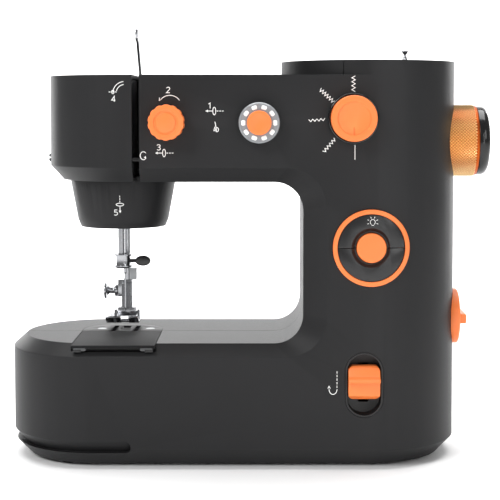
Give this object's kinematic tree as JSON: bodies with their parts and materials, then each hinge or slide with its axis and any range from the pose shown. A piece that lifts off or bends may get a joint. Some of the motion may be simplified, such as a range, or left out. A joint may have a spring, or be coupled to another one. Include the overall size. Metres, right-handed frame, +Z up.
{
  "type": "sewing machine",
  "caption": "Compact free-arm electric sewing machine with round ends, a hand wheel, turning stitch controls, push buttons and a raised presser foot.",
  "frame": {"origin": "centre of the footprint on the surface the feet stand on", "axes": "+X along the bed towards the hand wheel, +Y towards the rear, +Z up"},
  "size_m": [0.3026, 0.122, 0.269],
  "materials": {
    "body_plastic": "fine matte grain",
    "dark_plastic": "satin",
    "gloss_black": "gloss",
    "orange_plastic": "satin",
    "orange_anodised": "anodised, fine knurl",
    "dial_grey": "clear satin",
    "chrome": "polished",
    "steel": "brushed",
    "cast_frame": "die cast",
    "brass": "plain",
    "rubber": "plain",
    "pale_plastic": "satin",
    "clear": "clear",
    "board": "lacquered board"
  },
  "bodies": {
    "casing": {"front_shell": "body_plastic", "rear_shell": "body_plastic", "face_cover": "body_plastic", "needle_cone": "body_plastic", "base_plate": "dark_plastic", "thread_channel": "dark_plastic", "hook_bay": "dark_plastic", "rubber_feet": "rubber", "shell_screws": "steel", "needle_plate": "body_plastic", "needle_plate_screws": "steel", "selector_bezel": "gloss_black", "button_ring": "orange_plastic", "reverse_bezel": "dark_plastic", "side_thread_cutter": "dark_plastic", "lamp_lens": "clear", "power_socket": "dark_plastic", "pedal_socket": "dark_plastic", "arm_frame": "cast_frame", "head_frame": "cast_frame", "shaft_bushes": "brass", "motor": "steel", "circuit_board": "board", "bobbin_case": "dark_plastic", "drive_belt": "rubber", "timing_belt": "rubber", "presser_spring": "steel"},
    "main_drive": {"handwheel": "orange_anodised", "handwheel_cap": "gloss_black", "main_shaft": "steel", "main_pulleys": "pale_plastic", "crank_disc": "steel"},
    "lower_drive": {"lower_shaft": "steel", "lower_wheels": "pale_plastic"},
    "motor_rotor": {"motor_pulley": "steel"},
    "rotary_hook": {"hook": "steel"},
    "bobbin_reel": {"bobbin": "clear"},
    "needle_carrier": {"needle_bar": "chrome", "needle_clamp": "chrome", "needle": "chrome"},
    "clamp_screw": {"needle_clamp_screw": "gloss_black"},
    "link": {"connecting_link": "steel"},
    "take_up": {"take_up_lever": "chrome"},
    "presser": {"presser_bar": "chrome", "foot_shank": "chrome", "bar_thread_cutter": "pale_plastic"},
    "foot_screw": {"shank_screw": "chrome"},
    "foot": {"presser_foot": "chrome"},
    "lifter": {"presser_lever": "gloss_black"},
    "cover": {"bobbin_cover": "body_plastic"},
    "feed": {"feed_dog": "steel"},
    "tension": {"tension_knob": "orange_plastic"},
    "length_dial": {"stitch_length_dial": "dial_grey"},
    "selector": {"stitch_selector": "orange_plastic"},
    "upper_button": {"light_button": "body_plastic"},
    "lower_button": {"speed_button": "body_plastic"},
    "centre_button": {"start_button": "orange_plastic"},
    "reverse": {"reverse_lever": "orange_plastic"},
    "speed": {"speed_knob": "orange_plastic"},
    "spool": {"spool_pin": "chrome"}
  },
  "joints": [
    {"name": "hand_wheel_turn", "type": "hinge", "parent": "casing", "child": "main_drive", "pos_m": [0, 0.006, 0.199], "axis": [1, 0, 0], "continuous": true},
    {"name": "lower_shaft_turn", "type": "hinge", "parent": "casing", "child": "lower_drive", "pos_m": [0, -0.009, 0.035], "axis": [1, 0, 0], "continuous": true},
    {"name": "motor_turn", "type": "hinge", "parent": "casing", "child": "motor_rotor", "pos_m": [0, 0.037, 0.095], "axis": [1, 0, 0], "continuous": true},
    {"name": "hook_turn", "type": "hinge", "parent": "casing", "child": "rotary_hook", "pos_m": [-0.081, -0.009, 0], "axis": [0, 0, 1], "continuous": true},
    {"name": "bobbin_turn", "type": "hinge", "parent": "casing", "child": "bobbin_reel", "pos_m": [-0.081, -0.009, 0], "axis": [0, 0, 1], "continuous": true},
    {"name": "needle_bar_stroke", "type": "slide", "parent": "casing", "child": "needle_carrier", "axis": [0, 0, 1], "range_m": [-0.027, 0]},
    {"name": "needle_screw_turn", "type": "hinge", "parent": "needle_carrier", "child": "clamp_screw", "pos_m": [0, 0.011, 0.121], "axis": [1, 0, 0], "range_deg": [-360, 360]},
    {"name": "link_pivot", "type": "hinge", "parent": "needle_carrier", "child": "link", "pos_m": [0, 0.011, 0.188], "axis": [1, 0, 0], "range_deg": [-10, 10]},
    {"name": "take_up_swing", "type": "hinge", "parent": "casing", "child": "take_up", "pos_m": [0, 0.036, 0.215], "axis": [1, 0, 0], "range_deg": [0, 45]},
    {"name": "presser_lever_turn", "type": "hinge", "parent": "casing", "child": "lifter", "pos_m": [-0.09, 0, 0.162], "axis": [0, 1, 0], "range_deg": [0, 70]},
    {"name": "presser_bar_lift", "type": "slide", "parent": "casing", "child": "presser", "axis": [0, 0, 1], "range_m": [-0.0034, 0]},
    {"name": "shank_screw_turn", "type": "hinge", "parent": "presser", "child": "foot_screw", "pos_m": [0, 0.023, 0.1001], "axis": [1, 0, 0], "range_deg": [-360, 360]},
    {"name": "foot_tilt", "type": "hinge", "parent": "presser", "child": "foot", "pos_m": [0, 0.0196, 0.086], "axis": [1, 0, 0], "range_deg": [-3, 3]},
    {"name": "bobbin_cover_slide", "type": "slide", "parent": "casing", "child": "cover", "axis": [0, -1, 0], "range_m": [0, 0.03]},
    {"name": "feed_dog_lift", "type": "slide", "parent": "casing", "child": "feed", "axis": [0, 0, 1], "range_m": [0, 0.0009]},
    {"name": "tension_turn", "type": "hinge", "parent": "casing", "child": "tension", "pos_m": [-0.0489, 0, 0.2112], "axis": [0, 1, 0], "range_deg": [-150, 150]},
    {"name": "stitch_length_turn", "type": "hinge", "parent": "casing", "child": "length_dial", "pos_m": [0.0064, 0, 0.211], "axis": [0, 1, 0], "range_deg": [-150, 150]},
    {"name": "stitch_selector_turn", "type": "hinge", "parent": "casing", "child": "selector", "pos_m": [0.0628, 0, 0.2136], "axis": [0, 1, 0], "range_deg": [0, 180]},
    {"name": "light_button_press", "type": "slide", "parent": "casing", "child": "upper_button", "axis": [0, 1, 0], "range_m": [0, 0.001], "stiffness_N_per_m": 400},
    {"name": "speed_button_press", "type": "slide", "parent": "casing", "child": "lower_button", "axis": [0, 1, 0], "range_m": [0, 0.001], "stiffness_N_per_m": 400},
    {"name": "start_button_press", "type": "slide", "parent": "casing", "child": "centre_button", "axis": [0, 1, 0], "range_m": [0, 0.001], "stiffness_N_per_m": 400},
    {"name": "reverse_lever_push", "type": "slide", "parent": "casing", "child": "reverse", "axis": [0, 0, 1], "range_m": [-0.004, 0], "stiffness_N_per_m": 200},
    {"name": "speed_knob_turn", "type": "hinge", "parent": "casing", "child": "speed", "pos_m": [0, 0.006, 0.0861], "axis": [1, 0, 0], "range_deg": [-120, 120]},
    {"name": "spool_pin_pull", "type": "slide", "parent": "casing", "child": "spool", "axis": [0, 0, 1], "range_m": [0, 0.02]}
  ],
  "couplings": [
    {"joint": "lower_shaft_turn", "follows": "hand_wheel_turn", "ratio": 1},
    {"joint": "motor_turn", "follows": "hand_wheel_turn", "ratio": 3.6},
    {"joint": "hook_turn", "follows": "hand_wheel_turn", "ratio": 2},
    {"joint": "presser_lever_turn", "follows": "presser_bar_lift", "rad_per_m": -359.33}
  ]
}
